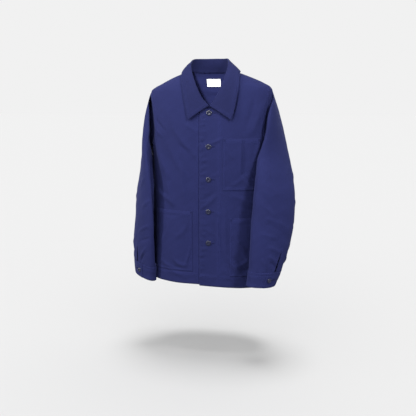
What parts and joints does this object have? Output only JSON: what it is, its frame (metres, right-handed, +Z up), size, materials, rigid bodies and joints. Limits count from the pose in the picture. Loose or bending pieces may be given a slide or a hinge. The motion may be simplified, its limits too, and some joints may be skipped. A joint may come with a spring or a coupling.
{
  "type": "chore jacket",
  "caption": "Buttoned cotton chore jacket with a folded collar, patch pockets and cuffed long sleeves, hollow and held open as if worn.",
  "frame": {"origin": "midway between the two side-neck points, at their height, where the wearer's shoulders carry the jacket", "axes": "+Z up, the jacket faces -Y, +X is the wearer's left"},
  "size_m": [0.5788, 0.2619, 0.7721],
  "materials": {
    "cotton": "matt plain-weave cotton",
    "button": "polished",
    "label": "woven satin"
  },
  "bodies": {
    "root": {"front_left": "cotton", "front_right": "cotton", "back": "cotton", "sleeve_left": "cotton", "sleeve_right": "cotton", "cuff_left": "cotton", "cuff_right": "cotton", "collar": "cotton", "chest_pocket": "cotton", "lower_pocket_left": "cotton", "lower_pocket_right": "cotton", "label": "label", "button_1": "button", "button_2": "button", "button_3": "button", "button_4": "button", "button_5": "button", "cuff_button_left": "button", "cuff_button_right": "button"}
  },
  "joints": []
}
